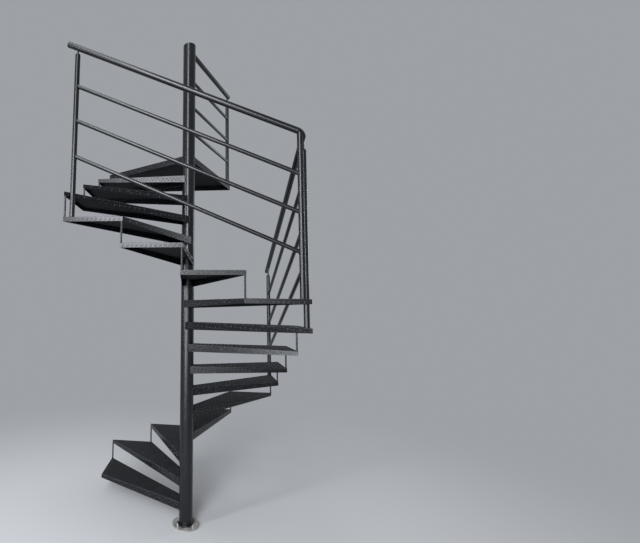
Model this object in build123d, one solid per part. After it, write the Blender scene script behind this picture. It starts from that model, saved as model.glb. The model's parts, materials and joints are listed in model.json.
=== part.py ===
from build123d import *
import math
import os

os.makedirs("parts", exist_ok=True)

# Spiral stair on a square plan, in millimetres. The column stands on the Z axis,
# the floor is z = 0, the front is -Y and the stair climbs clockwise seen from above.

# Plan and rise
plan_side = 1500.0
tread_count = 16
treads_per_side = tread_count // 4
riser = 166.5

# Column and its foot
column_d = 101.6
column_wall = 3.6
column_above_guard = 40.0
flange_d = 200.0
flange_t = 10.0
bolt_circle_d = 160.0
bolt_count = 4
bolt_turn = 45.0
bolt_d = 12.0
bolt_play = 1.0
weld_gap = 0.3

# Folded plate of treads and landing
plate_t = 3.0
bend_r = 2.0
tread_fold_column = 55.0
tread_fold_rim = 29.0
landing_fold = 50.0
tip_inset = 6.0
rim_lap = 7.0

# Vertical bars that tie each tread to the next one
rod_d = 12.0
rod_inset = 7.0

# Posts, rails and handrails
post_d = 33.7
post_inset = 20.0
post_edge_play = 1.0
cap_h = 14.0
cap_land = 0.5
pin_d = 12.0
handrail_d = 38.1
handrail_wall = 2.6
handrail_h = 1000.0
handrail_bend_r = 55.0
elbow_lengths = 3
front_overrun = 14.0
side_overrun = 55.0
guard_overrun = 34.0
mid_rail_d = 25.4
guard_handrail_h = 920.0

# Heights of the mid rails, as shares of the height of the handrail above them
front_rail_shares = (0.26, 0.5, 0.735)
side_rail_shares = (0.23, 0.465, 0.735)
guard_rail_shares = (0.255, 0.495, 0.74)

# Posts: distance from the plan corner along their side, and the pin below the handrail.
# Each outer railing stands on the highest and the lowest tread of its own side. The lower
# post of the front has no cap or pin: it runs up to the underside of the handrail's elbow.
front_upper_from_corner = 50.0
front_lower_from_corner = 45.0
saddle_depth = 5.0
side_lower_from_corner = 35.0
front_upper_pin = 19.0
side_upper_pin = 55.0
side_lower_pin = 61.0
guard_pin = 30.0

# Sizes that follow from those above
half = plan_side / 2.0
column_r = column_d / 2.0
seat_r = column_r + weld_gap
tip_r = column_r - tip_inset
landing_z = (tread_count + 1) * riser
column_top = landing_z + guard_handrail_h + column_above_guard
rail_line = half - post_inset
corner_level = (2 * treads_per_side + 2) * riser
rail_slope = treads_per_side * riser / (plan_side - post_inset)


def rim_point(n):
    """Point n on the rim of the plan. Point 1 is the back left corner."""
    side = (n - 1) // treads_per_side
    along = (n - 1) % treads_per_side * plan_side / treads_per_side
    corners = [(-half, half), (half, half), (half, -half), (-half, -half)]
    ways = [(1, 0), (0, -1), (-1, 0), (0, 1)]
    corner = corners[side % 4]
    way = ways[side % 4]
    return (corner[0] + way[0] * along, corner[1] + way[1] * along)


def is_corner(n):
    return (n - 1) % treads_per_side == 0


def tangent_point(point, side):
    """Where the line from a rim point runs tangent to the narrow end's circle."""
    reach = math.hypot(point[0], point[1])
    turn = math.atan2(point[1], point[0]) + side * math.acos(tip_r / reach)
    return (tip_r * math.cos(turn), tip_r * math.sin(turn))


def shifted(n, way):
    """A rim point moved along the rim by the lap, except at a plan corner."""
    point = rim_point(n)
    if is_corner(n):
        return point
    other = rim_point(n + way)
    run = math.dist(point, other)
    step = rim_lap / run
    return (point[0] + (other[0] - point[0]) * step, point[1] + (other[1] - point[1]) * step)


def plate_outline(rim):
    """Outline from the column along the front edge, the rim and the rear edge back."""
    front = tangent_point(rim[0], 1)
    rear = tangent_point(rim[-1], -1)
    return [front] + list(rim) + [rear]


def folded_plate(rim, top, depth):
    """A plate with its edges folded down, open below, cut to fit round the column."""
    outline = make_face(Polyline(*plate_outline(rim), close=True))
    block = extrude(outline, amount=-depth)
    edges = block.faces().sort_by(Axis.Z)[-1].edges()
    outer = [e for e in edges if math.hypot(e.center().X, e.center().Y) > 3 * column_r]
    block = fillet(outer, radius=bend_r)
    pocket = extrude(offset(outline, amount=-plate_t, kind=Kind.INTERSECTION), amount=-depth)
    block = block - Pos(0, 0, -plate_t) * pocket
    block = block - Pos(0, 0, -depth / 2) * Cylinder(seat_r, depth * 3)
    return Pos(0, 0, top) * block


def tread_rim(n):
    return (shifted(n - 1, -1), shifted(n, 1))


def fold_plane(n):
    """Sloping lower edge of a tread: deep at the column, shallow at the rim."""
    front, rear = tread_rim(n)
    middle = ((front[0] + rear[0]) / 2, (front[1] + rear[1]) / 2)
    reach = math.hypot(middle[0], middle[1])
    root = Vector(middle[0] / reach * column_r, middle[1] / reach * column_r, n * riser - tread_fold_column)
    a = Vector(front[0], front[1], n * riser - tread_fold_rim) - root
    b = Vector(rear[0], rear[1], n * riser - tread_fold_rim) - root
    normal = b.cross(a)
    if normal.Z < 0:
        normal = normal * -1
    return root, normal.normalized()


def tread(n):
    deep = tread_fold_column + riser / 4
    pan = folded_plate(tread_rim(n), n * riser, deep)
    root, normal = fold_plane(n)
    return split(pan, bisect_by=Plane(origin=root, z_dir=normal), keep=Keep.TOP)


def under_tread(n, x, y):
    root, normal = fold_plane(n)
    return root.Z - (normal.X * (x - root.X) + normal.Y * (y - root.Y)) / normal.Z


def landing_rim():
    back_left = (-half, half)
    return (shifted(tread_count, -1), back_left, rim_point(treads_per_side))


def rod_place(n):
    """A bar's axis: just inside the rim, on the shared line of two treads."""
    x, y = rim_point(n)
    reach = half - rod_inset
    return (max(-reach, min(reach, x)), max(-reach, min(reach, y)))


def rod(n):
    x, y = rod_place(n)
    foot = n * riser
    if n < tread_count:
        head = under_tread(n + 1, x, y) - weld_gap
    else:
        head = landing_z - landing_fold - weld_gap
    return Pos(x, y, (foot + head) / 2) * Cylinder(rod_d / 2, head - foot)


def tube_between(start, end, d, wall):
    """A straight tube along the line between two points."""
    start = Vector(*start)
    end = Vector(*end)
    run = end - start
    plane = Plane(origin=start, z_dir=run)
    ring = plane * (Circle(d / 2) - Circle(d / 2 - wall))
    return extrude(ring, amount=run.length)


def bar_between(start, end, d):
    """A closed tube along the line between two points, drawn without its bore."""
    start = Vector(*start)
    run = Vector(*end) - start
    return extrude(Plane(origin=start, z_dir=run) * Circle(d / 2), amount=run.length)


def upright(x, y, low, high, r):
    return Pos(x, y, (low + high) / 2) * Cylinder(r, high - low)


def post(x, y, foot, top):
    """The closed tube of a post below its cap, drawn without its bore."""
    return upright(x, y, foot, top - cap_h, post_d / 2)


def post_cap(x, y, top):
    """A rounded cap with a flat land for the pin."""
    r = post_d / 2
    land_r = pin_d / 2 + cap_land
    run = r - land_r
    bulge = 0.16
    middle = (land_r + run / 2 + cap_h * bulge, cap_h / 2 + run * bulge)
    low = Line((0, 0), (r, 0))
    dome = ThreePointArc((r, 0), middle, (land_r, cap_h))
    land = Line((land_r, cap_h), (0, cap_h))
    axis = Line((0, cap_h), (0, 0))
    profile = make_face([low, dome, land, axis])
    profile = Plane.XZ * profile
    return Pos(x, y, top - cap_h) * revolve(profile, Axis.Z)


def front_rail_z(x, height):
    return corner_level + height + rail_slope * (rail_line - x)


def side_rail_z(y, height):
    return corner_level + height - rail_slope * (y + rail_line)


# Places of the posts. The upper post of the side railing stands on the tread below the
# corner and passes close beside the front edge of the tread above it.
front_upper = (-half + front_upper_from_corner, -rail_line)
front_lower = (half - front_lower_from_corner, -rail_line)
side_lower = (rail_line, half - side_lower_from_corner)
corner = rim_point(2 * treads_per_side + 1)
corner_tip = tangent_point(corner, 1)
corner_run = math.dist(corner, corner_tip)
away_x = (corner_tip[1] - corner[1]) / corner_run
away_y = (corner[0] - corner_tip[0]) / corner_run
beside = post_d / 2 + weld_gap
side_upper_y = corner[1] + (beside - away_x * (rail_line - corner[0])) / away_y
side_upper = (rail_line, side_upper_y)

guard_edge = rim_point(treads_per_side)
guard_tip = tangent_point(guard_edge, -1)
edge_run = math.dist(guard_edge, guard_tip)
edge_x = (guard_edge[0] - guard_tip[0]) / edge_run
edge_y = (guard_edge[1] - guard_tip[1]) / edge_run
guard_inset = post_d / 2 + post_edge_play
guard_post_y = rail_line
guard_post_x = guard_edge[0] - (half - guard_post_y) * edge_x / edge_y - guard_inset / edge_y
guard_post = (guard_post_x, guard_post_y)

front_upper_level = (3 * treads_per_side + 1) * riser
front_lower_level = corner_level
side_upper_level = corner_level - riser
side_lower_level = (treads_per_side + 2) * riser

slope_drop = handrail_d / 2 * math.sqrt(1 + rail_slope**2)
front_upper_top = front_rail_z(front_upper[0], handrail_h) - slope_drop - front_upper_pin
side_upper_top = side_rail_z(side_upper[1], handrail_h) - slope_drop - side_upper_pin
side_lower_top = side_rail_z(side_lower[1], handrail_h) - slope_drop - side_lower_pin
guard_z = landing_z + guard_handrail_h
guard_post_top = guard_z - handrail_d / 2 - guard_pin

# The elbow at the front right corner lies in the plane of the two sloping handrails. Its
# bend is drawn as short straight lengths that touch the round one from outside, without
# their bore.
elbow = Vector(rail_line, -rail_line, corner_level + handrail_h)
up_front = Vector(-1, 0, rail_slope).normalized()
down_side = Vector(0, 1, -rail_slope).normalized()
opening = math.acos(up_front.dot(down_side))
setback = handrail_bend_r / math.tan(opening / 2)
elbow_start = elbow + up_front * setback
elbow_end = elbow + down_side * setback
elbow_centre = elbow + (up_front + down_side).normalized() * handrail_bend_r / math.sin(opening / 2)
elbow_axis = Axis(elbow_centre, down_side.cross(up_front))
elbow_step = (180 - math.degrees(opening)) / elbow_lengths
elbow_plane = Plane(origin=elbow_start, z_dir=up_front * -1)
elbow_round = elbow_plane * Circle(handrail_d / 2)
elbow_points = [elbow_start]
for i in range(elbow_lengths):
    reach = handrail_bend_r / math.cos(math.radians(elbow_step / 2))
    spot = Plane(elbow_centre, x_dir=elbow_start - elbow_centre, z_dir=elbow_axis.direction)
    turn = math.radians(elbow_step * (i + 0.5))
    elbow_points.append(spot.from_local_coords((reach * math.cos(turn), reach * math.sin(turn), 0)))
elbow_points.append(elbow_end)
elbow_path = Polyline(*elbow_points)
handrail_elbow = sweep(elbow_round, path=elbow_path, transition=Transition.RIGHT)

front_far_x = -half - front_overrun
front_far = (front_far_x, -rail_line, front_rail_z(front_far_x, handrail_h))
side_far_y = half + side_overrun
side_far = (rail_line, side_far_y, side_rail_z(side_far_y, handrail_h))
front_handrail = tube_between(front_far, tuple(elbow_start), handrail_d, handrail_wall)
side_handrail = tube_between(tuple(elbow_end), side_far, handrail_d, handrail_wall)

# Mid rails, cut to the posts at both ends


def post_hole(place):
    return upright(*place, 0, column_top, post_d / 2 + weld_gap)


def rails_between(first, last, rail_z, axis, shares):
    """Sloping rails from one post to the other, one at each share of the handrail's height."""
    rails = []
    for share in shares:
        start = (*first, rail_z(first[axis], handrail_h * share))
        end = (*last, rail_z(last[axis], handrail_h * share))
        rail = bar_between(start, end, mid_rail_d) - post_hole(first) - post_hole(last)
        rails.append(rail.solids().sort_by(SortBy.VOLUME)[-1])
    return rails


front_mid_rails = rails_between(front_upper, front_lower, front_rail_z, 0, front_rail_shares)
side_mid_rails = rails_between(side_upper, side_lower, side_rail_z, 1, side_rail_shares)

# Guard of the landing, from the column to its post
guard_cut = upright(0, 0, 0, column_top, seat_r)
guard_reach = math.hypot(*guard_post)
guard_end = tuple(v * (guard_reach + guard_overrun) / guard_reach for v in guard_post)
landing_handrail = tube_between((0, 0, guard_z), (*guard_end, guard_z), handrail_d, handrail_wall)
landing_handrail = (landing_handrail - guard_cut).solids().sort_by(SortBy.VOLUME)[-1]
landing_mid_rails = []
for share in guard_rail_shares:
    z = landing_z + guard_handrail_h * share
    rail = bar_between((0, 0, z), (*guard_post, z), mid_rail_d)
    rail = rail - guard_cut - post_hole(guard_post)
    landing_mid_rails.append(rail.solids().sort_by(SortBy.VOLUME)[-1])

# Pins between the caps and the handrails, cut to the underside of the handrail
room_d = handrail_d + 2 * weld_gap
front_room = bar_between(front_far, tuple(elbow_start), room_d)
elbow_room = sweep(elbow_plane * Circle(room_d / 2), path=elbow_path, transition=Transition.RIGHT)
side_room = bar_between(tuple(elbow_end), side_far, room_d)
guard_room = bar_between((0, 0, guard_z), (*guard_end, guard_z), room_d)


def below(shape, rooms):
    """The part of an upright shape that stays clear below the handrail."""
    for room in rooms:
        shape = shape - room
    return shape.solids().sort_by(Axis.Z)[0]


def pin(place, low, reach, rooms):
    return below(upright(*place, low, low + reach + handrail_d / 2, pin_d / 2), rooms)


# The tube of the front's lower post ends on a plane just above the underside of the elbow
upward = elbow_axis.direction
if upward.Z < 0:
    upward = upward * -1
saddle_plane = Plane(elbow - upward * (handrail_d / 2 - saddle_depth), z_dir=upward)
front_lower_head = front_rail_z(front_lower[0], handrail_h) + cap_h
tall_post = post(*front_lower, front_lower_level, front_lower_head)
front_lower_post = split(tall_post, bisect_by=saddle_plane, keep=Keep.BOTTOM)
front_lower_post = below(front_lower_post, [front_room, elbow_room])


pins = [
    pin(front_upper, front_upper_top, front_upper_pin, [front_room]),
    pin(side_upper, side_upper_top, side_upper_pin, [side_room, elbow_room]),
    pin(side_lower, side_lower_top, side_lower_pin, [side_room]),
    pin(guard_post, guard_post_top, guard_pin, [guard_room]),
]

caps = [
    post_cap(*front_upper, front_upper_top),
    post_cap(*side_upper, side_upper_top),
    post_cap(*side_lower, side_lower_top),
    post_cap(*guard_post, guard_post_top),
]

# Foot of the column
flange = Pos(0, 0, flange_t / 2) * Cylinder(flange_d / 2, flange_t)
bolt_spots = [loc * Pos(0, 0, 0) for loc in PolarLocations(bolt_circle_d / 2, bolt_count, bolt_turn)]
for spot in bolt_spots:
    flange = flange - spot * Pos(0, 0, flange_t / 2) * Cylinder(bolt_d / 2 + bolt_play, flange_t * 2)

column = upright(0, 0, flange_t, column_top, column_r) - upright(0, 0, flange_t, column_top, column_r - column_wall)

shapes = {
    "base_flange": flange,
    "centre_column": column,
    "landing_plate": folded_plate(landing_rim(), landing_z, landing_fold),
    "front_upper_post": post(*front_upper, front_upper_level, front_upper_top),
    "front_lower_post": front_lower_post,
    "side_upper_post": post(*side_upper, side_upper_level, side_upper_top),
    "side_lower_post": post(*side_lower, side_lower_level, side_lower_top),
    "landing_post": post(*guard_post, landing_z, guard_post_top),
    "post_caps": Compound(caps),
    "handrail_pins": Compound(pins),
    "front_handrail": front_handrail,
    "handrail_elbow": handrail_elbow,
    "side_handrail": side_handrail,
    "front_mid_rails": Compound(front_mid_rails),
    "side_mid_rails": Compound(side_mid_rails),
    "landing_handrail": landing_handrail,
    "landing_mid_rails": Compound(landing_mid_rails),
}
for n in range(1, tread_count + 1):
    shapes["tread_%02d" % n] = tread(n)

sides = ["back", "right", "front", "left"]
for i in range(4):
    rods = []
    for n in range(i * treads_per_side + 1, (i + 1) * treads_per_side + 1):
        if n != 2 * treads_per_side + 1:
            rods.append(rod(n))
    shapes[sides[i] + "_tie_rods"] = Compound(rods)

for name in sorted(shapes):
    export_step(shapes[name], "parts/" + name + ".step")
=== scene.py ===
import json
import math
import random

import bpy
from mathutils import Matrix, Vector


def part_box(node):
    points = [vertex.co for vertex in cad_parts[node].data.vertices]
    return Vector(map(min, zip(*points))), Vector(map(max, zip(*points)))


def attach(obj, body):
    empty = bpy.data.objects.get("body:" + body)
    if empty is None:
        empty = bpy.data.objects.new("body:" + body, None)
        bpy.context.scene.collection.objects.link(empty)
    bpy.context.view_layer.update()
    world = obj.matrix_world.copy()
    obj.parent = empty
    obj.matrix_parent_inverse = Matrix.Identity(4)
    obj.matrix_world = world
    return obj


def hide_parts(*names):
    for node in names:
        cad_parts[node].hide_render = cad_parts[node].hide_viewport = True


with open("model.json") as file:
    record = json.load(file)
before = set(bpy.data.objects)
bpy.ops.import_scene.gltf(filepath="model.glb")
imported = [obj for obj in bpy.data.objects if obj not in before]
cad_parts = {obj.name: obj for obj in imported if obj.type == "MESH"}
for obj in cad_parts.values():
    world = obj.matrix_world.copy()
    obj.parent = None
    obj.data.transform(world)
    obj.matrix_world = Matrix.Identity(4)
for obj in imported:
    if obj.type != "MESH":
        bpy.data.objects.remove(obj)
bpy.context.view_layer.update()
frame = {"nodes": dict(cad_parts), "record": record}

# Sizes repeated from the part's source, in metres
HALF = 0.750
RISER = 0.1665
TREADS = 16
PER_SIDE = 4
COLUMN_R = 0.0508
TIP_INSET = 0.006
TIP_R = COLUMN_R - TIP_INSET
FLANGE_T = 0.010
FOLD_COLUMN = 0.055
FOLD_RIM = 0.029
LANDING_FOLD = 0.050
RIM_LAP = 0.007
LANDING_Z = (TREADS + 1) * RISER
GUARD_Z = LANDING_Z + 0.920
ROD_R = 0.006
ROD_INSET = 0.007
ROD_REACH = HALF - ROD_INSET
POST_R = 0.01685
HANDRAIL_R = 0.01905
MID_RAIL_R = 0.0127
POST_INSET = 0.020
RAIL_LINE = HALF - POST_INSET
RAIL_SLOPE = PER_SIDE * RISER / (2 * HALF - POST_INSET)
CORNER_LEVEL = (2 * PER_SIDE + 2) * RISER
HANDRAIL_H = 1.000
BEND_R = 0.055

# Heights of the mid rails above the treads' corners, and of the guard's above the landing
FRONT_HEIGHTS = (0.260, 0.500, 0.735)
SIDE_HEIGHTS = (0.230, 0.465, 0.735)
GUARD_HEIGHTS = (0.2346, 0.4554, 0.6808)

# The photo's camera, solved from the treads' corners. Angles are in radians. The left
# panel's middle lies at CENTRE_PX from the left of the picture.
CAMERA_PLACE = (0.1538, -3.0628, 1.5970)
CAMERA_YAW = 0.1193
CAMERA_PITCH = 0.0960
CAMERA_ROLL = 0.0147
FOCAL_PX = 388.1
FRAME_PX = 640
CENTRE_PX = 161
SENSOR_MM = 36.0

# Weld beads: the ripple's pitch and share of the radius, and the radius of each bead
RIPPLE_PITCH = 0.0032
RIPPLE_SHARE = 0.10
UNEVEN_SHARE = 0.07
BEAD_END = 0.6
BEAD_STEP = 0.0016
FLANGE_BEAD = 0.0036
PLATE_BEAD = 0.0026
FOLD_BEAD = 0.0024
ROD_BEAD = 0.0020
POST_BEAD = 0.0026
CAP_BEAD = 0.0011
MID_RAIL_BEAD = 0.0017
GUARD_RAIL_BEAD = 0.0019
GUARD_HANDRAIL_BEAD = 0.0023


# ---- small helpers ----

def new_object(name, verts, faces, material, smooth=True):
    mesh = bpy.data.meshes.new(name)
    mesh.from_pydata(verts, [], faces)
    mesh.update()
    for polygon in mesh.polygons:
        polygon.use_smooth = smooth
    piece = bpy.data.objects.new(name, mesh)
    bpy.context.scene.collection.objects.link(piece)
    mesh.materials.append(material)
    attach(piece, "root")
    return piece


class Mesh:
    """Collects vertices and faces of many small forms for one piece."""

    def __init__(self):
        self.verts = []
        self.faces = []

    def add(self, verts, faces):
        start = len(self.verts)
        self.verts.extend(verts)
        self.faces.extend([tuple(start + i for i in face) for face in faces])

    def piece(self, name, material, slot, smooth=True):
        return new_object(name, self.verts, self.faces, material, smooth)


def ring_faces(rows, sides):
    """Quads between each ring of vertices and the next one."""
    faces = []
    for i in range(rows - 1):
        for k in range(sides):
            m = (k + 1) % sides
            faces.append((i * sides + k, i * sides + m, (i + 1) * sides + m, (i + 1) * sides + k))
    return faces


def end_faces(rows, sides):
    """The faces that close the first ring and the last one."""
    last = (rows - 1) * sides
    return [tuple(range(sides - 1, -1, -1)), tuple(range(last, last + sides))]


def loop_tube(points, radii, closed, sides=8):
    """Rings of points swept along a path, as vertices and faces."""
    count = len(points)
    verts = []
    for i in range(count):
        if closed:
            before, after = points[i - 1], points[(i + 1) % count]
        else:
            before, after = points[max(i - 1, 0)], points[min(i + 1, count - 1)]
        run = (after - before).normalized()
        helper = Vector((0, 0, 1)) if abs(run.z) < 0.9 else Vector((1, 0, 0))
        across = run.cross(helper).normalized()
        up = across.cross(run)
        for k in range(sides):
            turn = 2 * math.pi * k / sides
            verts.append(points[i] + (across * math.cos(turn) + up * math.sin(turn)) * radii[i])
    faces = ring_faces(count, sides)
    if closed:
        last = (count - 1) * sides
        for k in range(sides):
            m = (k + 1) % sides
            faces.append((last + k, last + m, m, k))
    else:
        faces += end_faces(count, sides)
    return verts, faces


def weld(store, points, radius, closed, rng):
    """A weld bead with its ripples along a path of points."""
    radii = []
    phase = rng.uniform(0, 6)
    travelled = 0.0
    for i, point in enumerate(points):
        if i:
            travelled += (point - points[i - 1]).length
        ripple = RIPPLE_SHARE * math.sin(travelled / RIPPLE_PITCH * 2 * math.pi + phase)
        radii.append(radius * (1 + ripple + rng.uniform(-UNEVEN_SHARE, UNEVEN_SHARE)))
    if not closed:
        radii[0] *= BEAD_END
        radii[-1] *= BEAD_END
    store.add(*loop_tube(points, radii, closed))


def circle_points(centre, radius, first=0.0, last=2 * math.pi):
    """Points along a level arc, or round the whole circle."""
    count = max(8, int(abs(last - first) * radius / BEAD_STEP))
    closed = math.isclose(abs(last - first), 2 * math.pi)
    total = count if closed else count + 1
    return [
        Vector((centre[0] + radius * math.cos(first + (last - first) * i / count),
                centre[1] + radius * math.sin(first + (last - first) * i / count),
                centre[2]))
        for i in range(total)
    ]


def cope_points(start, end, tube_r, post, post_r, count=40):
    """Where a tube from start to end runs into an upright cylinder, from start's side."""
    start, end = Vector(start), Vector(end)
    run = (end - start).normalized()
    across = run.cross(Vector((0, 0, 1))).normalized()
    up = across.cross(run)
    points = []
    for k in range(count):
        turn = 2 * math.pi * k / count
        skin = start + (across * math.cos(turn) + up * math.sin(turn)) * tube_r
        dx, dy = skin.x - post[0], skin.y - post[1]
        a = run.x ** 2 + run.y ** 2
        b = 2 * (dx * run.x + dy * run.y)
        c = dx ** 2 + dy ** 2 - post_r ** 2
        reach = (-b - math.sqrt(max(0.0, b * b - 4 * a * c))) / (2 * a)
        points.append(skin + run * reach)
    return points


def rim_point(n):
    """Point n on the rim of the plan. Point 1 is the back left corner."""
    side = (n - 1) // PER_SIDE
    along = (n - 1) % PER_SIDE * 2 * HALF / PER_SIDE
    corners = [(-HALF, HALF), (HALF, HALF), (HALF, -HALF), (-HALF, -HALF)]
    ways = [(1, 0), (0, -1), (-1, 0), (0, 1)]
    corner, way = corners[side % 4], ways[side % 4]
    return (corner[0] + way[0] * along, corner[1] + way[1] * along)


def shifted(n, way):
    """A rim point moved along the rim by the lap, except at a plan corner."""
    point = rim_point(n)
    if (n - 1) % PER_SIDE == 0:
        return point
    other = rim_point(n + way)
    step = RIM_LAP / math.dist(point, other)
    return (point[0] + (other[0] - point[0]) * step, point[1] + (other[1] - point[1]) * step)


def tangent_point(point, side):
    """Where the line from a rim point runs tangent to the narrow end's circle."""
    reach = math.hypot(point[0], point[1])
    turn = math.atan2(point[1], point[0]) + side * math.acos(TIP_R / reach)
    return (TIP_R * math.cos(turn), TIP_R * math.sin(turn))


def plate_outline(rim):
    """Outline of a plate from the column along one edge, the rim and the other edge back."""
    return [tangent_point(rim[0], 1)] + list(rim) + [tangent_point(rim[-1], -1)]


def tread_rim(n):
    return (shifted(n - 1, -1), shifted(n, 1))


LANDING_RIM = (shifted(TREADS, -1), (-HALF, HALF), rim_point(PER_SIDE))


# ---- materials ----

# Noise scales are per metre, so a scale of 45 gives features of about 2 cm. The paint's
# colours are the photo's darkest tones, and its roughness comes from its highlights.

def srgb(value):
    """An sRGB channel as linear light."""
    return value / 12.92 if value <= 0.04045 else ((value + 0.055) / 1.055) ** 2.4


def colour(r, g, b):
    return (srgb(r / 255), srgb(g / 255), srgb(b / 255), 1.0)


class Nodes:
    """Short ways to build one material's node tree."""

    def __init__(self, name):
        self.material = bpy.data.materials.new(name)
        self.material.use_nodes = True
        self.tree = self.material.node_tree
        self.shader = self.tree.nodes["Principled BSDF"]
        self.place = self.tree.nodes.new("ShaderNodeTexCoord").outputs["Object"]

    def node(self, kind, **inputs):
        made = self.tree.nodes.new(kind)
        for key, value in inputs.items():
            self.put(made.inputs[key.replace("_", " ")], value)
        return made

    def put(self, socket, value):
        if isinstance(value, bpy.types.NodeSocket):
            self.tree.links.new(value, socket)
        else:
            socket.default_value = value

    def noise(self, scale, detail=3.0, rough=0.55, stretch=None):
        place = self.place
        if stretch:
            mapping = self.node("ShaderNodeMapping", Vector=place)
            mapping.inputs["Scale"].default_value = stretch
            place = mapping.outputs[0]
        made = self.node(
            "ShaderNodeTexNoise", Vector=place, Scale=scale, Detail=detail, Roughness=rough)
        return made.outputs["Fac"]

    def span(self, value, low, high, to_low=0.0, to_high=1.0):
        """The value's way from low to high, eased and mapped to another range."""
        made = self.tree.nodes.new("ShaderNodeMapRange")
        made.interpolation_type = "SMOOTHSTEP"
        for i, v in enumerate((value, low, high, to_low, to_high)):
            self.put(made.inputs[i], v)
        return made.outputs[0]

    def math(self, kind, a, b):
        made = self.tree.nodes.new("ShaderNodeMath")
        made.operation = kind
        self.put(made.inputs[0], a)
        self.put(made.inputs[1], b)
        return made.outputs[0]

    def mix(self, factor, a, b):
        made = self.tree.nodes.new("ShaderNodeMix")
        made.data_type = "RGBA"
        self.put(made.inputs[0], factor)
        self.put(made.inputs[6], a)
        self.put(made.inputs[7], b)
        return made.outputs[2]

    def normal_z(self):
        """How much a face looks up: 1 is up, 0 is upright and -1 is down."""
        geometry = self.tree.nodes.new("ShaderNodeNewGeometry")
        made = self.tree.nodes.new("ShaderNodeSeparateXYZ")
        self.put(made.inputs[0], geometry.outputs["Normal"])
        return made.outputs[2]

    def reach(self):
        """Distance from the middle of the stair's foot."""
        place = self.tree.nodes.new("ShaderNodeNewGeometry")
        made = self.tree.nodes.new("ShaderNodeVectorMath")
        made.operation = "LENGTH"
        self.put(made.inputs[0], place.outputs["Position"])
        return made.outputs["Value"]

    def bump(self, height, distance, strength):
        made = self.node("ShaderNodeBump", Height=height, Distance=distance, Strength=strength)
        return made.outputs[0]


BLACK = colour(7, 8, 11)
BLACK_SOFT = colour(10, 12, 16)
BLACK_WORN = colour(25, 27, 32)
SCUFF = colour(96, 97, 99)
# Pale colour on the folds' bends: wear, and partly a painted highlight.
FOLD_WEAR_AND_HIGHLIGHT = colour(150, 152, 154)
BAR_DARK = colour(14, 16, 20)
BAR_RUBBED = colour(66, 69, 75)
WELD_DARK = colour(18, 19, 22)
WELD_GREY = colour(34, 34, 37)
DUST = colour(96, 95, 93)
CEMENT = colour(176, 173, 166)
STEEL = colour(186, 185, 180)
STEEL_DARK = colour(134, 133, 130)
ZINC_BRIGHT = colour(214, 213, 208)
RUST = colour(112, 74, 48)
ORANGE_PEEL = 0.00002


def paint(name, dust_amount, roughness):
    """Satin black paint: dust on what faces up, scuffs, orange peel and dull patches."""
    n = Nodes(name)
    facing = n.normal_z()
    patches = n.noise(2.2, 4.0)
    fine = n.noise(45.0, 3.0)
    grain = n.noise(300.0, 2.0)
    streaks = n.noise(9.0, 3.0, stretch=(6.0, 6.0, 0.5))
    tone = n.mix(n.span(patches, 0.35, 0.68), BLACK, BLACK_SOFT)
    tone = n.mix(n.math("MULTIPLY", n.span(streaks, 0.52, 0.75), 0.35), tone, BLACK_WORN)
    up = n.span(facing, 0.35, 0.98)
    dusty = n.math("MULTIPLY", up, n.span(n.noise(14.0, 5.0, 0.6), 0.38, 0.72, 0.25, 1.0))
    dusty = n.math("MULTIPLY", dusty, dust_amount)
    tone = n.mix(dusty, tone, DUST)
    scuff = n.span(n.noise(30.0, 6.0, 0.7, stretch=(1.0, 1.0, 3.0)), 0.69, 0.74)
    tone = n.mix(n.math("MULTIPLY", scuff, 0.35), tone, SCUFF)
    n.put(n.shader.inputs["Base Color"], tone)
    rough = n.span(patches, 0.3, 0.7, roughness - 0.04, roughness + 0.06)
    rough = n.math("ADD", rough, n.math("MULTIPLY", dusty, 0.9))
    rough = n.math("ADD", rough, n.math("MULTIPLY", n.span(fine, 0.3, 0.7), 0.05))
    n.put(n.shader.inputs["Roughness"], rough)
    n.shader.inputs["Specular IOR Level"].default_value = 0.5
    relief = n.math("ADD", fine, n.math("MULTIPLY", grain, 0.15))
    n.put(n.shader.inputs["Normal"], n.bump(relief, ORANGE_PEEL, 0.8))
    return n.material


def plate_paint():
    """Black paint on the folded chequer plate, rubbed pale along the folds' outer bends: wear, and
    partly a painted highlight on the bends.
    """
    n = Nodes("plate_paint_satin_black")
    facing = n.normal_z()
    patches = n.noise(2.6, 4.0)
    fine = n.noise(95.0, 3.0)
    tone = n.mix(n.span(patches, 0.35, 0.68), BLACK, BLACK_SOFT)
    up = n.span(facing, 0.80, 0.995)
    cloud = n.span(n.noise(7.0, 6.0, 0.65), 0.36, 0.74)
    traffic = n.math("MULTIPLY", up, n.math("ADD", n.math("MULTIPLY", cloud, 0.09), 0.01))
    tone = n.mix(traffic, tone, DUST)
    # The pale, partly metallic colour on the up-tilted bends is wear, and partly a painted
    # highlight along them.
    bend = n.math("MULTIPLY", n.span(facing, 0.12, 0.45), n.span(facing, 0.97, 0.85))
    patchy = n.span(n.noise(38.0, 5.0, 0.7), 0.36, 0.62)
    fold_wear_and_highlight = n.math("MULTIPLY", bend, n.math("MULTIPLY", patchy, 0.55))
    tone = n.mix(fold_wear_and_highlight, tone, FOLD_WEAR_AND_HIGHLIGHT)
    n.put(n.shader.inputs["Base Color"], tone)
    rough = n.span(patches, 0.3, 0.7, 0.19, 0.26)
    rough = n.math("ADD", rough, n.math("MULTIPLY", up, 0.55))
    rough = n.math("ADD", rough, n.span(facing, -0.6, -0.95, 0.0, 0.70))
    rough = n.math("ADD", rough, n.math("MULTIPLY", n.span(fine, 0.3, 0.7), 0.06))
    n.put(n.shader.inputs["Roughness"], rough)
    n.put(n.shader.inputs["Metallic"], n.math("MULTIPLY", fold_wear_and_highlight, 0.8))
    n.shader.inputs["Specular IOR Level"].default_value = 0.42
    scratch = n.noise(60.0, 6.0, 0.75, stretch=(1.0, 5.0, 1.0))
    relief = n.math("ADD", fine, n.math("MULTIPLY", scratch, 0.5))
    n.put(n.shader.inputs["Normal"], n.bump(relief, 0.00006, 0.8))
    return n.material


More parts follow.
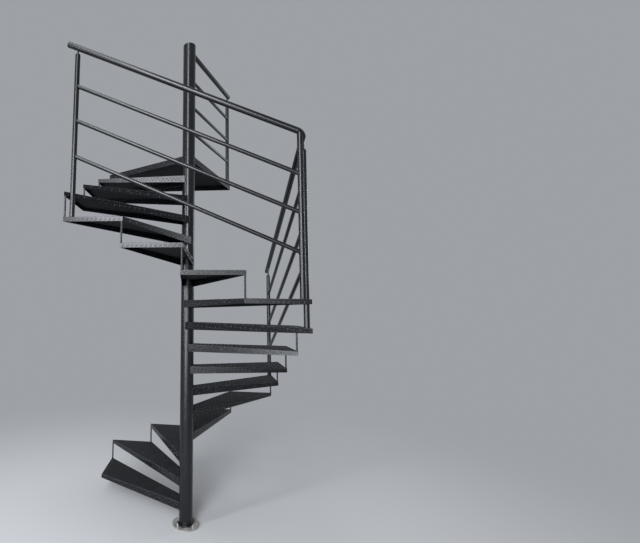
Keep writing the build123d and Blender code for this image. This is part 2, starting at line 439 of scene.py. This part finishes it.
def bar_paint():
    """The raised bars: the same paint, rubbed on their crowns."""
    n = Nodes("chequer_bar_paint")
    facing = n.normal_z()
    rubbed = n.span(n.noise(24.0, 5.0, 0.7), 0.42, 0.66)
    tone = n.mix(n.math("MULTIPLY", rubbed, 0.4), BAR_DARK, BAR_RUBBED)
    n.put(n.shader.inputs["Base Color"], tone)
    rough = n.span(rubbed, 0.0, 1.0, 0.24, 0.32)
    rough = n.math("ADD", rough, n.span(facing, 0.30, 0.90, 0.0, 0.30))
    n.put(n.shader.inputs["Roughness"], rough)
    n.put(n.shader.inputs["Normal"], n.bump(n.noise(260.0, 3.0), 0.00008, 0.7))
    return n.material


def weld_paint():
    """Paint over the rough skin of a weld."""
    n = Nodes("weld_paint")
    tone = n.mix(n.span(n.noise(60.0, 4.0), 0.4, 0.65), WELD_DARK, WELD_GREY)
    n.put(n.shader.inputs["Base Color"], tone)
    n.put(n.shader.inputs["Roughness"], n.span(n.noise(90.0, 3.0), 0.3, 0.7, 0.38, 0.52))
    n.put(n.shader.inputs["Normal"], n.bump(n.noise(700.0, 3.0), 0.0002, 0.9))
    return n.material


def bare_steel(name, base, dark, cement_most, rough_low, rough_high, overspray_r=0.0):
    """Zinc-coated steel with splashed cement, and black overspray near the column."""
    n = Nodes(name)
    cloud = n.span(n.noise(90.0, 8.0, 0.75), 0.32, 0.70)
    tone = n.mix(cloud, base, dark)
    specks = n.span(n.noise(150.0, 4.0, 0.7), 0.62, 0.70)
    tone = n.mix(n.math("MULTIPLY", specks, 0.5), tone, RUST)
    splashed = n.span(n.noise(42.0, 9.0, 0.78), 0.40, 0.66, 0.25, cement_most)
    dusty = n.math("MULTIPLY", n.span(n.normal_z(), -0.3, 0.8, 0.55, 1.0), splashed)
    tone = n.mix(dusty, tone, CEMENT)
    metal = n.span(dusty, 0.0, 0.8, 0.9, 0.15)
    if overspray_r:
        ragged = n.math("MULTIPLY", n.noise(26.0, 5.0, 0.6), overspray_r * 0.9)
        reach = n.math("ADD", n.reach(), ragged)
        sprayed = n.span(reach, overspray_r * 1.20, overspray_r * 1.48, 0.92, 0.0)
        tone = n.mix(sprayed, tone, BLACK_WORN)
        metal = n.math("MULTIPLY", metal, n.math("SUBTRACT", 1.0, sprayed))
    n.put(n.shader.inputs["Base Color"], tone)
    n.put(n.shader.inputs["Metallic"], metal)
    n.put(n.shader.inputs["Roughness"], n.span(cloud, 0.0, 1.0, rough_low, rough_high))
    n.put(n.shader.inputs["Normal"], n.bump(n.noise(300.0, 4.0), 0.0002, 0.7))
    return n.material


column_paint = paint("column_paint_satin_black", 0.06, 0.23)
rail_paint = paint("rail_paint_satin_black", 0.10, 0.20)
rod_paint = paint("rod_paint_satin_black", 0.06, 0.24)
plate = plate_paint()
bars = bar_paint()
beads = weld_paint()
flange_steel = bare_steel("flange_zinc_grey", STEEL, STEEL_DARK, 0.90, 0.38, 0.60, 0.076)
bolt_steel = bare_steel("bolt_zinc_bright", ZINC_BRIGHT, STEEL_DARK, 0.40, 0.22, 0.42)

SLOT_MATERIAL = {
    "column_paint": column_paint,
    "plate_paint": plate,
    "rail_paint": rail_paint,
    "rod_paint": rod_paint,
    "flange_steel": flange_steel,
}
for row in frame["record"]["subparts"]:
    mesh = frame["nodes"][row["node"]].data
    for i in range(len(mesh.materials)):
        mesh.materials[i] = SLOT_MATERIAL[row["material_slot"]]


# ---- chequer plate's raised bars ----

# Bars of one direction stand on a square grid, and those of the other in its cells'
# middles. The grid's lines run along X and Y, as the photo's rim folds and landing show.
# BAR_ROOT is how far a bar sinks into the plate. BEND_SKIN is the strip that stays plain
# along a fold's bend, EDGE_STRIP the one along its lower edge, and the two CLEAR sizes
# those beside the column and at a fold's ends.
BAR_PITCH = 0.0290
BAR_LENGTH = 0.0240
BAR_WIDTH = 0.0064
BAR_HEIGHT = 0.0017
BAR_ROOT = 0.0002
BAR_FIRST = -HALF + 0.0105
BAR_REACH = BAR_LENGTH / 2
BEND_SKIN = 0.0016
EDGE_STRIP = 0.0008
COLUMN_CLEAR = BAR_REACH * 0.8
END_CLEAR = BAR_REACH * 0.9
FOLD_SEARCH = 0.070


def bar_form():
    """One lens-shaped bar lying along X, its underside a little below the plate's skin."""
    # Each ring's length and width as shares of the bar's, and its height
    rings = [
        (1.00, 1.00, -BAR_ROOT),
        (0.93, 0.84, BAR_HEIGHT * 0.55),
        (0.80, 0.58, BAR_HEIGHT * 0.90),
        (0.55, 0.22, BAR_HEIGHT),
    ]
    shape = [
        (1.0, 0.0), (0.5, 0.80), (0.0, 1.0), (-0.5, 0.80),
        (-1.0, 0.0), (-0.5, -0.80), (0.0, -1.0), (0.5, -0.80),
    ]
    verts = []
    for length, width, z in rings:
        for x, y in shape:
            verts.append(Vector((x * length * BAR_LENGTH / 2, y * width * BAR_WIDTH / 2, z)))
    crown = end_faces(len(rings), len(shape))[-1]
    return verts, ring_faces(len(rings), len(shape)) + [crown]


BAR_VERTS, BAR_FACES = bar_form()


def lay_bar(store, origin, along, across, out, turn):
    """Adds a bar on a face whose directions are given, turned within that face."""
    long_way = along * math.cos(turn) + across * math.sin(turn)
    wide_way = across * math.cos(turn) - along * math.sin(turn)
    verts = [origin + long_way * v.x + wide_way * v.y + out * v.z for v in BAR_VERTS]
    store.add(verts, BAR_FACES)


def sheet_places(low, high):
    """Every bar of the flat sheet between two corners: its centre and direction."""
    for half_step, turn in ((0.0, math.pi / 4), (0.5, -math.pi / 4)):
        first = [math.floor((low[k] - BAR_FIRST) / BAR_PITCH - half_step) for k in range(2)]
        last = [math.ceil((high[k] - BAR_FIRST) / BAR_PITCH - half_step) for k in range(2)]
        for i in range(first[0], last[0] + 1):
            for j in range(first[1], last[1] + 1):
                x = BAR_FIRST + (i + half_step) * BAR_PITCH
                y = BAR_FIRST + (j + half_step) * BAR_PITCH
                yield (x, y, turn)


def half_span(turn, direction):
    """How far a bar reaches each way along a direction."""
    along = abs(math.cos(turn - direction)) * BAR_LENGTH / 2
    across = abs(math.sin(turn - direction)) * BAR_WIDTH / 2
    return math.hypot(along, across)


def plate_bars(name, rim, z, depth_at):
    """Bars over a plate's top and on round its folds, as on the flat sheet it was cut from."""
    outline = plate_outline(rim)
    store = Mesh()
    low = [min(p[k] for p in outline) - FOLD_SEARCH for k in range(2)]
    high = [max(p[k] for p in outline) + FOLD_SEARCH for k in range(2)]
    up = Vector((0, 0, 1))
    edges = []
    for i in range(len(outline) - 1):
        a, b = outline[i], outline[i + 1]
        run = math.dist(a, b)
        ux, uy = (b[0] - a[0]) / run, (b[1] - a[1]) / run
        edges.append((a, b, run, ux, uy))
    turning = sum(a[0] * b[1] - b[0] * a[1] for a, b, run, ux, uy in edges)
    sign = 1 if turning > 0 else -1
    for x, y, turn in sheet_places(low, high):
        beyond = []
        for a, b, run, ux, uy in edges:
            beyond.append(((x - a[0]) * uy - (y - a[1]) * ux) * sign)
        outside = [k for k in range(len(edges)) if beyond[k] > 0]
        if not outside:
            clear = math.hypot(x, y) > COLUMN_R + COLUMN_CLEAR and not behind_tip(x, y, outline)
            for k, (a, b, run, ux, uy) in enumerate(edges):
                if -beyond[k] < half_span(turn, math.atan2(ux, -uy)) + BEND_SKIN:
                    clear = False
            if clear:
                lay_bar(store, Vector((x, y, z)), Vector((1, 0, 0)), Vector((0, 1, 0)), up, turn)
        elif len(outside) == 1:
            a, b, run, ux, uy = edges[outside[0]]
            past = beyond[outside[0]]
            reach = (x - a[0]) * ux + (y - a[1]) * uy
            if not 0 < reach < run:
                continue
            foot = Vector((a[0] + ux * reach, a[1] + uy * reach, z))
            if math.hypot(foot.x, foot.y) < COLUMN_R + BAR_REACH:
                continue
            span = half_span(turn, math.atan2(ux, -uy))
            depth = depth_at(foot.x, foot.y)
            if past < span + BEND_SKIN or past + span > depth - EDGE_STRIP:
                continue
            if min(reach, run - reach) < END_CLEAR:
                continue
            along = Vector((ux, uy, 0))
            across = up * sign
            out = Vector((uy * sign, -ux * sign, 0))
            lay_bar(store, foot - up * past, along, across, out, turn - math.atan2(uy, ux))
    return store.piece(name, bars, "plate_paint")


def behind_tip(x, y, outline):
    """True where a place lies on the far side of the column's axis from the rim."""
    middle = outline[len(outline) // 2]
    return x * middle[0] + y * middle[1] < 0


def tread_depth(n):
    """Depth of a tread's folds at a place, from the sloping plane of its lower edge."""
    front, rear = tread_rim(n)
    middle = Vector(((front[0] + rear[0]) / 2, (front[1] + rear[1]) / 2))
    unit = middle.normalized()
    root = Vector((unit.x * COLUMN_R, unit.y * COLUMN_R, n * RISER - FOLD_COLUMN))
    a = Vector((front[0], front[1], n * RISER - FOLD_RIM)) - root
    b = Vector((rear[0], rear[1], n * RISER - FOLD_RIM)) - root
    normal = b.cross(a)

    def depth(x, y):
        z = root.z - (normal.x * (x - root.x) + normal.y * (y - root.y)) / normal.z
        return n * RISER - z

    return depth


for n in range(1, TREADS + 1):
    plate_bars("tread_%02d_chequer_bars" % n, tread_rim(n), n * RISER, tread_depth(n))
plate_bars("landing_chequer_bars", LANDING_RIM, LANDING_Z, lambda x, y: LANDING_FOLD)


# ---- places of posts and rails, worked out as the part's source does ----

def front_rail_z(x, height):
    """Height of a front rail's middle line at a place, from its height above the pitch line."""
    return CORNER_LEVEL + height + RAIL_SLOPE * (RAIL_LINE - x)


def side_rail_z(y, height):
    return CORNER_LEVEL + height - RAIL_SLOPE * (y + RAIL_LINE)


def post_centre(node):
    """A post's axis, from its node's box."""
    low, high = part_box(node)
    return ((low.x + high.x) / 2, (low.y + high.y) / 2)


FRONT_UPPER = post_centre("front_upper_post")
FRONT_LOWER = post_centre("front_lower_post")
SIDE_UPPER = post_centre("side_upper_post")
SIDE_LOWER = post_centre("side_lower_post")
GUARD_POST = post_centre("landing_post")
POST_LEVELS = {
    "front_upper_post": (3 * PER_SIDE + 1) * RISER,
    "front_lower_post": CORNER_LEVEL,
    "side_upper_post": CORNER_LEVEL - RISER,
    "side_lower_post": (PER_SIDE + 2) * RISER,
    "landing_post": LANDING_Z,
}


# ---- the handrail's round bend ----

BEND_STEPS = 28
TUBE_SIDES = 48


def elbow_line(count):
    """The bend's centre line, in the plane of the two sloping handrails."""
    corner = Vector((RAIL_LINE, -RAIL_LINE, CORNER_LEVEL + HANDRAIL_H))
    up_front = Vector((-1, 0, RAIL_SLOPE)).normalized()
    down_side = Vector((0, 1, -RAIL_SLOPE)).normalized()
    opening = math.acos(up_front.dot(down_side))
    centre = corner + (up_front + down_side).normalized() * BEND_R / math.sin(opening / 2)
    first = corner + up_front * BEND_R / math.tan(opening / 2) - centre
    last = corner + down_side * BEND_R / math.tan(opening / 2) - centre
    axis = first.cross(last).normalized()
    total = math.pi - opening
    return [centre + Matrix.Rotation(total * i / count, 3, axis) @ first for i in range(count + 1)]


def handrail_bend():
    """The smooth bend, in place of the mitred one."""
    line = elbow_line(BEND_STEPS)
    verts, faces = loop_tube(line, [HANDRAIL_R] * len(line), False, TUBE_SIDES)
    bend = new_object("handrail_elbow_bent", verts, faces, rail_paint)
    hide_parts("handrail_elbow")


# ---- welds ----

# Each bead's middle line lies a millimetre or two off the skins that it joins.

def ring_weld(store, centre, radius, bead, rng):
    weld(store, circle_points(centre, radius), bead, True, rng)


def cope_weld(store, start, end, tube_r, post, post_r, bead, rng):
    """A bead where a rail's end runs into an upright tube."""
    weld(store, cope_points(start, end, tube_r, post, post_r), bead, True, rng)


def column_welds():
    """Round the column's foot, and where each plate meets the column."""
    rng = random.Random(11)
    store = Mesh()
    ring_weld(store, (0, 0, FLANGE_T + 0.0022), COLUMN_R + 0.0022, FLANGE_BEAD, rng)
    for n in range(1, TREADS + 1):
        rim = tread_rim(n)
        plate_weld(store, rim, n * RISER, tread_depth(n), rng)
    plate_weld(store, LANDING_RIM, LANDING_Z, lambda x, y: LANDING_FOLD, rng)
    store.piece("column_welds", beads, "column_paint")


def plate_weld(store, rim, z, depth_at, rng):
    """Bead where a plate's top meets the column, and one down each fold's end."""
    front, rear = tangent_point(rim[0], 1), tangent_point(rim[-1], -1)
    start = edge_meets_column(rim[-1], rear)
    end = edge_meets_column(rim[0], front)
    a, b = math.atan2(start[1], start[0]), math.atan2(end[1], end[0])
    while b < a:
        b += 2 * math.pi
    weld(store, circle_points((0, 0, z + 0.0006), COLUMN_R + 0.0014, a, b), PLATE_BEAD, False, rng)
    for spot in (start, end):
        unit = Vector((spot[0], spot[1], 0)).normalized()
        depth = depth_at(*spot)
        line = []
        steps = max(6, int(depth / BEAD_STEP))
        for i in range(steps + 1):
            place = unit * (COLUMN_R + 0.0012)
            line.append(Vector((place.x, place.y, z - 0.002 - (depth - 0.004) * i / steps)))
        weld(store, line, FOLD_BEAD, False, rng)


def edge_meets_column(point, tip):
    """Where an edge's line crosses the column's skin."""
    dx, dy = tip[0] - point[0], tip[1] - point[1]
    a = dx * dx + dy * dy
    b = 2 * (point[0] * dx + point[1] * dy)
    c = point[0] ** 2 + point[1] ** 2 - COLUMN_R ** 2
    t = (-b - math.sqrt(b * b - 4 * a * c)) / (2 * a)
    return (point[0] + dx * t, point[1] + dy * t)


def rod_place(n):
    """A tie rod's axis: just inside the rim, on the shared line of two treads."""
    x, y = rim_point(n)
    return (max(-ROD_REACH, min(ROD_REACH, x)), max(-ROD_REACH, min(ROD_REACH, y)))


def rod_welds():
    """Round the foot of each tie rod. There is none at the front right corner."""
    rng = random.Random(12)
    store = Mesh()
    for n in range(1, TREADS + 1):
        if n == 2 * PER_SIDE + 1:
            continue
        x, y = rod_place(n)
        ring_weld(store, (x, y, n * RISER + 0.0008), ROD_R + 0.0008, ROD_BEAD, rng)
    store.piece("tie_rod_welds", beads, "rod_paint")


def slope_welds(store, upper, lower, rail_z, axis, heights, rng):
    """Where the sloping mid rails of one side meet its two posts."""
    for height in heights:
        high = (*upper, rail_z(upper[axis], height))
        low = (*lower, rail_z(lower[axis], height))
        middle = (Vector(high) + Vector(low)) / 2
        cope_weld(store, middle, high, MID_RAIL_R, upper, POST_R, MID_RAIL_BEAD, rng)
        cope_weld(store, middle, low, MID_RAIL_R, lower, POST_R, MID_RAIL_BEAD, rng)


def railing_welds():
    """Round the posts' feet and caps, and where rails meet posts and the column."""
    rng = random.Random(13)
    store = Mesh()
    for node, level in POST_LEVELS.items():
        x, y = post_centre(node)
        ring_weld(store, (x, y, level + 0.0012), POST_R + 0.0012, POST_BEAD, rng)
    for node in ("front_upper_post", "side_upper_post", "side_lower_post", "landing_post"):
        x, y = post_centre(node)
        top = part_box(node)[1].z
        ring_weld(store, (x, y, top), POST_R - 0.0004, CAP_BEAD, rng)
    slope_welds(store, FRONT_UPPER, FRONT_LOWER, front_rail_z, 0, FRONT_HEIGHTS, rng)
    slope_welds(store, SIDE_UPPER, SIDE_LOWER, side_rail_z, 1, SIDE_HEIGHTS, rng)
    column = (0, 0)
    for height in GUARD_HEIGHTS:
        z = LANDING_Z + height
        middle = (GUARD_POST[0] / 2, GUARD_POST[1] / 2, z)
        far, near = (*GUARD_POST, z), (*column, z)
        cope_weld(store, middle, far, MID_RAIL_R, GUARD_POST, POST_R, MID_RAIL_BEAD, rng)
        cope_weld(store, middle, near, MID_RAIL_R, column, COLUMN_R, GUARD_RAIL_BEAD, rng)
    middle = (GUARD_POST[0] / 2, GUARD_POST[1] / 2, GUARD_Z)
    near = (*column, GUARD_Z)
    cope_weld(store, middle, near, HANDRAIL_R, column, COLUMN_R, GUARD_HANDRAIL_BEAD, rng)
    store.piece("railing_welds", beads, "rail_paint")


# ---- anchor bolts ----

BOLT_COUNT = 4
BOLT_TURN = 45
BOLT_R = 0.006
BOLT_REACH = 0.080
WASHER_R = 0.0120
WASHER_T = 0.0024
WASHER_EDGE = 0.0004
NUT_H = 0.0100
NUT_R = 0.0095
NUT_CHAMFER = 0.0008
STUD_PAST_NUT = 0.0096
STUD_TOP = FLANGE_T + WASHER_T + NUT_H + STUD_PAST_NUT
THREAD_PITCH = 0.00175
THREAD_CREST = BOLT_R - 0.0001
THREAD_ROOT = BOLT_R - 0.0009
STUD_END_R = BOLT_R - 0.0013
SHANK_R = BOLT_R - 0.0006


def around(centre, radius, turn, z):
    return Vector((centre[0] + radius * math.cos(turn), centre[1] + radius * math.sin(turn), z))


def turned(store, centre, profile, sides=48):
    """A turned form from (radius, height) pairs, closed at both ends."""
    verts = []
    for radius, z in profile:
        for k in range(sides):
            verts.append(around(centre, radius, 2 * math.pi * k / sides, z))
    store.add(verts, ring_faces(len(profile), sides) + end_faces(len(profile), sides))


def hex_nut(store, centre, low, first_turn, sides=72):
    """A hexagon nut whose ends are cut to a round crown, lower at its corners."""
    def flat_radius(turn):
        part = (turn - first_turn + math.pi / 6) % (math.pi / 3) - math.pi / 6
        return NUT_R / math.cos(part)

    crown = NUT_R * 1.02
    high = low + NUT_H
    rings = ((low, 0), (low + NUT_CHAMFER, -1), (high - NUT_CHAMFER, 1), (high, 0))
    verts = []
    for z, way in rings:
        for k in range(sides):
            turn = 2 * math.pi * k / sides
            radius = flat_radius(turn)
            if way:
                lower = max(0.0, radius - crown) * 0.55 * way
            else:
                radius = min(radius, crown)
                lower = 0.0
            verts.append(around(centre, radius, turn, z - lower))
    store.add(verts, ring_faces(len(rings), sides) + end_faces(len(rings), sides))


def anchor_bolts():
    """Threaded studs with their washers and nuts, on the flange's holes."""
    rng = random.Random(14)
    washer_top = FLANGE_T + WASHER_T
    for i in range(BOLT_COUNT):
        turn = math.radians(BOLT_TURN + 360 / BOLT_COUNT * i)
        centre = (BOLT_REACH * math.cos(turn), BOLT_REACH * math.sin(turn))
        store = Mesh()
        turned(store, centre, [
            (WASHER_R - WASHER_EDGE, FLANGE_T),
            (WASHER_R, FLANGE_T + WASHER_EDGE),
            (WASHER_R, washer_top - WASHER_EDGE),
            (WASHER_R - WASHER_EDGE, washer_top),
        ])
        hex_nut(store, centre, washer_top, rng.uniform(0, math.pi / 3))
        profile = [(SHANK_R, washer_top)]
        z = washer_top + NUT_H - THREAD_PITCH
        while z < STUD_TOP - THREAD_PITCH:
            profile.append((THREAD_ROOT, z))
            profile.append((THREAD_CREST, z + THREAD_PITCH / 2))
            z += THREAD_PITCH
        profile.append((THREAD_ROOT, z))
        profile.append((STUD_END_R, STUD_TOP))
        turned(store, centre, profile, 32)
        store.piece("anchor_bolt_%d" % (i + 1), bolt_steel, "flange_steel", smooth=False)


handrail_bend()
column_welds()
rod_welds()
railing_welds()
anchor_bolts()


# ---- camera, floor and light ----

def photo_camera():
    """The camera that took the photo's left panel."""
    cy, sy = math.cos(CAMERA_YAW), math.sin(CAMERA_YAW)
    cp, sp = math.cos(CAMERA_PITCH), math.sin(CAMERA_PITCH)
    forward = Vector((-sy * cp, cy * cp, sp))
    level = Vector((cy, sy, 0.0))
    top = level.cross(forward)
    right = level * math.cos(CAMERA_ROLL) + top * math.sin(CAMERA_ROLL)
    up = top * math.cos(CAMERA_ROLL) - level * math.sin(CAMERA_ROLL)
    data = bpy.data.cameras.new("photo_camera")
    data.sensor_width = SENSOR_MM
    data.lens = FOCAL_PX / FRAME_PX * SENSOR_MM
    data.shift_x = (FRAME_PX / 2 - CENTRE_PX) / FRAME_PX
    data.clip_start = 0.05
    camera = bpy.data.objects.new("photo_camera", data)
    turn = Matrix((right, up, -forward)).transposed().to_4x4()
    camera.matrix_world = Matrix.Translation(CAMERA_PLACE) @ turn
    bpy.context.scene.collection.objects.link(camera)
    bpy.context.scene.camera = camera


# The floor fades into the background from FLOOR_FADE to its rim
FLOOR_R = 4.6
FLOOR_FADE = 1.1
FLOOR_SIDES = 96
FLOOR_TONE = (0.60, 0.60, 0.60)
BACKGROUND_TONE = (0.34, 0.355, 0.38)
PANEL_TINT = (0.96, 1.0, 1.06)


def pale_ground():
    """A pale floor that fades into the background away from the stair."""
    mesh = bpy.data.meshes.new("studio_floor")
    turns = [2 * math.pi * i / FLOOR_SIDES for i in range(FLOOR_SIDES)]
    ring = [(FLOOR_R * math.cos(turn), FLOOR_R * math.sin(turn), 0) for turn in turns]
    mesh.from_pydata(ring, [], [tuple(range(FLOOR_SIDES))])
    floor = bpy.data.objects.new("studio_floor", mesh)
    bpy.context.scene.collection.objects.link(floor)
    n = Nodes("studio_floor_pale")
    n.shader.inputs["Base Color"].default_value = (*FLOOR_TONE, 1)
    n.shader.inputs["Roughness"].default_value = 0.9
    n.shader.inputs["Specular IOR Level"].default_value = 0.05
    n.put(n.shader.inputs["Alpha"], n.span(n.reach(), FLOOR_FADE, FLOOR_R * 0.97, 1.0, 0.0))
    mesh.materials.append(n.material)


def studio_world():
    """A plain, even background."""
    world = bpy.data.worlds.new("studio_world")
    bpy.context.scene.world = world
    world.use_nodes = True
    tree = world.node_tree
    tree.nodes.clear()
    out = tree.nodes.new("ShaderNodeOutputWorld")
    sky = tree.nodes.new("ShaderNodeBackground")
    sky.inputs["Color"].default_value = (*BACKGROUND_TONE, 1)
    sky.inputs["Strength"].default_value = 1.0
    tree.links.new(sky.outputs[0], out.inputs["Surface"])


def soft_panel(name, place, target, size, radiance):
    """A soft light panel of a given brightness, hidden from the camera itself."""
    data = bpy.data.lights.new(name, "AREA")
    data.shape = "RECTANGLE"
    data.size, data.size_y = size
    data.energy = radiance * math.pi * size[0] * size[1]
    data.color = PANEL_TINT
    panel = bpy.data.objects.new(name, data)
    panel.location = place
    panel.rotation_euler = (Vector(target) - Vector(place)).to_track_quat("-Z", "Y").to_euler()
    panel.visible_camera = False
    bpy.context.scene.collection.objects.link(panel)


photo_camera()
pale_ground()
studio_world()
soft_panel("front_panel", (-1.45, -6.2, 3.9), (-1.2, 0, 3.4), (2.1, 2.6), 14.0)
soft_panel("low_front_panel", (-1.9, -6.2, 1.4), (-1.7, 0, 1.4), (6.0, 2.5), 4.2)
soft_panel("near_panel", (-1.5, -3.7, 0.95), (0, 0, 0.95), (0.9, 1.3), 5.0)
soft_panel("high_front_panel", (-2.0, -6.2, 6.9), (0, 0, 3.4), (2.0, 3.0), 8.0)
soft_panel("left_panel", (-5.4, -4.2, 3.0), (0.5, -0.5, 2.0), (0.8, 3.4), 20.0)
soft_panel("overhead_panel", (-0.8, -1.8, 6.4), (0, -0.3, 2), (1.6, 1.0), 6.0)
soft_panel("back_right_panel", (6.0, 5.0, 3.4), (0, 0, 1.8), (2.4, 2.4), 4.0)
bpy.context.scene.view_settings.view_transform = "Standard"
